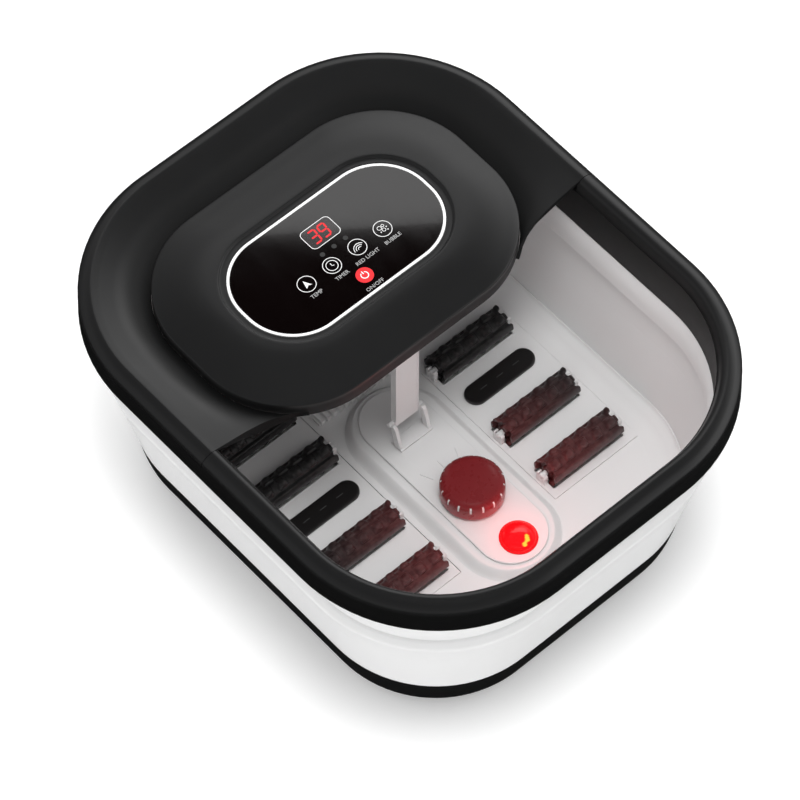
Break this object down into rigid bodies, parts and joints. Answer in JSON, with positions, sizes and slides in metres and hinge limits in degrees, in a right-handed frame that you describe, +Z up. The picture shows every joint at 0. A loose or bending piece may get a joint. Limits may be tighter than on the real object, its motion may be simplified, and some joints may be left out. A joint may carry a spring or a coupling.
{
  "type": "foot spa basin",
  "caption": "Folding foot spa basin with a soft white wall, black rim and hood, touch panel, prop strut, massage rollers, herb box and a red floor light.",
  "frame": {"origin": "on the ground under the middle of the tub", "axes": "+Z up, +X across the tub to the right of the person using it, +Y from the open front towards the hood"},
  "size_m": [0.35, 0.42, 0.1972],
  "materials": {
    "black_plastic": "satin moulded black",
    "white_plastic": "smooth moulded white",
    "soft_white": "satin soft moulded white",
    "black_strip": "polished black",
    "roller_black": "glossy moulded black",
    "herb_cap": "glossy dark red",
    "red_lens": "polished red, lit from below",
    "panel_glass": "polished black",
    "bezel_white": "smooth white",
    "display": "dark display",
    "circuit_board": "solder mask green",
    "steel": "brushed",
    "brown_plastic": "moulded brown",
    "grey_plastic": "moulded grey",
    "clear_tube": "clear soft tube",
    "grey_ribbon": "flat wire ribbon",
    "rubber": "matt"
  },
  "bodies": {
    "base": {"base_cover": "black_plastic", "tub_pan": "white_plastic", "centre_plate": "white_plastic", "tray_left": "white_plastic", "tray_right": "white_plastic", "magnet_strip_left": "black_strip", "magnet_strip_right": "black_strip", "strut_bracket": "white_plastic", "red_lens": "red_lens", "heater_plate": "steel", "thermostat": "brown_plastic", "lamp_board": "circuit_board", "air_pump": "grey_plastic", "air_tube": "clear_tube", "bubble_grille": "white_plastic", "power_board": "circuit_board", "cord_gland": "rubber", "lower_fold": "soft_white", "foot_front_left": "rubber", "foot_front_right": "rubber", "foot_back_left": "rubber", "foot_back_right": "rubber", "base_screw_1": "steel", "base_screw_2": "steel", "base_screw_3": "steel", "base_screw_4": "steel", "axle_left_1": "white_plastic", "axle_left_2": "white_plastic", "axle_left_3": "white_plastic", "axle_left_4": "white_plastic", "axle_right_1": "white_plastic", "axle_right_2": "white_plastic", "axle_right_3": "white_plastic", "axle_right_4": "white_plastic"},
    "waist": {"waist_ring": "soft_white", "upper_fold": "soft_white"},
    "rim": {"rim_frame": "black_plastic", "hood_cover": "black_plastic", "pod_cover": "black_plastic", "hood_tray": "black_plastic", "hinge_pin": "steel", "bezel_ring": "bezel_white", "touch_panel": "panel_glass", "display_module": "display", "control_board": "circuit_board", "tray_screw_left": "steel", "tray_screw_right": "steel"},
    "strut": {"strut": "white_plastic", "strut_ribbon": "grey_ribbon"},
    "herb_basket": {"herb_basket": "white_plastic"},
    "herb_cap": {"herb_cap": "herb_cap"},
    "roller_left_1": {"roller_left_1": "roller_black"},
    "roller_left_2": {"roller_left_2": "roller_black"},
    "roller_left_3": {"roller_left_3": "roller_black"},
    "roller_left_4": {"roller_left_4": "roller_black"},
    "roller_right_1": {"roller_right_1": "roller_black"},
    "roller_right_2": {"roller_right_2": "roller_black"},
    "roller_right_3": {"roller_right_3": "roller_black"},
    "roller_right_4": {"roller_right_4": "roller_black"}
  },
  "joints": [
    {"name": "waist_slide", "type": "slide", "parent": "base", "child": "waist", "axis": [0, 0, 1], "range_m": [-0.07, 0], "deforming": ["lower_fold"]},
    {"name": "rim_slide", "type": "slide", "parent": "waist", "child": "rim", "axis": [0, 0, 1], "range_m": [-0.023, 0], "deforming": ["upper_fold"]},
    {"name": "strut_swing", "type": "hinge", "parent": "rim", "child": "strut", "pos_m": [0, 0.0033, 0.171], "axis": [1, 0, 0], "range_deg": [0, 90]},
    {"name": "herb_lift", "type": "slide", "parent": "base", "child": "herb_basket", "axis": [0, 0, 1], "range_m": [0, 0.17]},
    {"name": "herb_cap_twist", "type": "hinge", "parent": "herb_basket", "child": "herb_cap", "pos_m": [0, -0.066, 0.055], "axis": [0, 0, 1], "range_deg": [0, 60]},
    {"name": "roller_left_1_spin", "type": "hinge", "parent": "base", "child": "roller_left_1", "pos_m": [-0.0811, -0.086, 0.048], "axis": [1, 0, 0], "continuous": true},
    {"name": "roller_left_2_spin", "type": "hinge", "parent": "base", "child": "roller_left_2", "pos_m": [-0.0811, -0.042, 0.048], "axis": [1, 0, 0], "continuous": true},
    {"name": "roller_left_3_spin", "type": "hinge", "parent": "base", "child": "roller_left_3", "pos_m": [-0.0811, 0.027, 0.048], "axis": [1, 0, 0], "continuous": true},
    {"name": "roller_left_4_spin", "type": "hinge", "parent": "base", "child": "roller_left_4", "pos_m": [-0.0811, 0.071, 0.048], "axis": [1, 0, 0], "continuous": true},
    {"name": "roller_right_1_spin", "type": "hinge", "parent": "base", "child": "roller_right_1", "pos_m": [0.0811, -0.086, 0.048], "axis": [1, 0, 0], "continuous": true},
    {"name": "roller_right_2_spin", "type": "hinge", "parent": "base", "child": "roller_right_2", "pos_m": [0.0811, -0.042, 0.048], "axis": [1, 0, 0], "continuous": true},
    {"name": "roller_right_3_spin", "type": "hinge", "parent": "base", "child": "roller_right_3", "pos_m": [0.0811, 0.027, 0.048], "axis": [1, 0, 0], "continuous": true},
    {"name": "roller_right_4_spin", "type": "hinge", "parent": "base", "child": "roller_right_4", "pos_m": [0.0811, 0.071, 0.048], "axis": [1, 0, 0], "continuous": true}
  ],
  "couplings": [
    {"joint": "rim_slide", "follows": "waist_slide", "ratio": 0.3285},
    {"joint": "strut_swing", "follows": "waist_slide", "rad_per_m": -22.4}
  ]
}
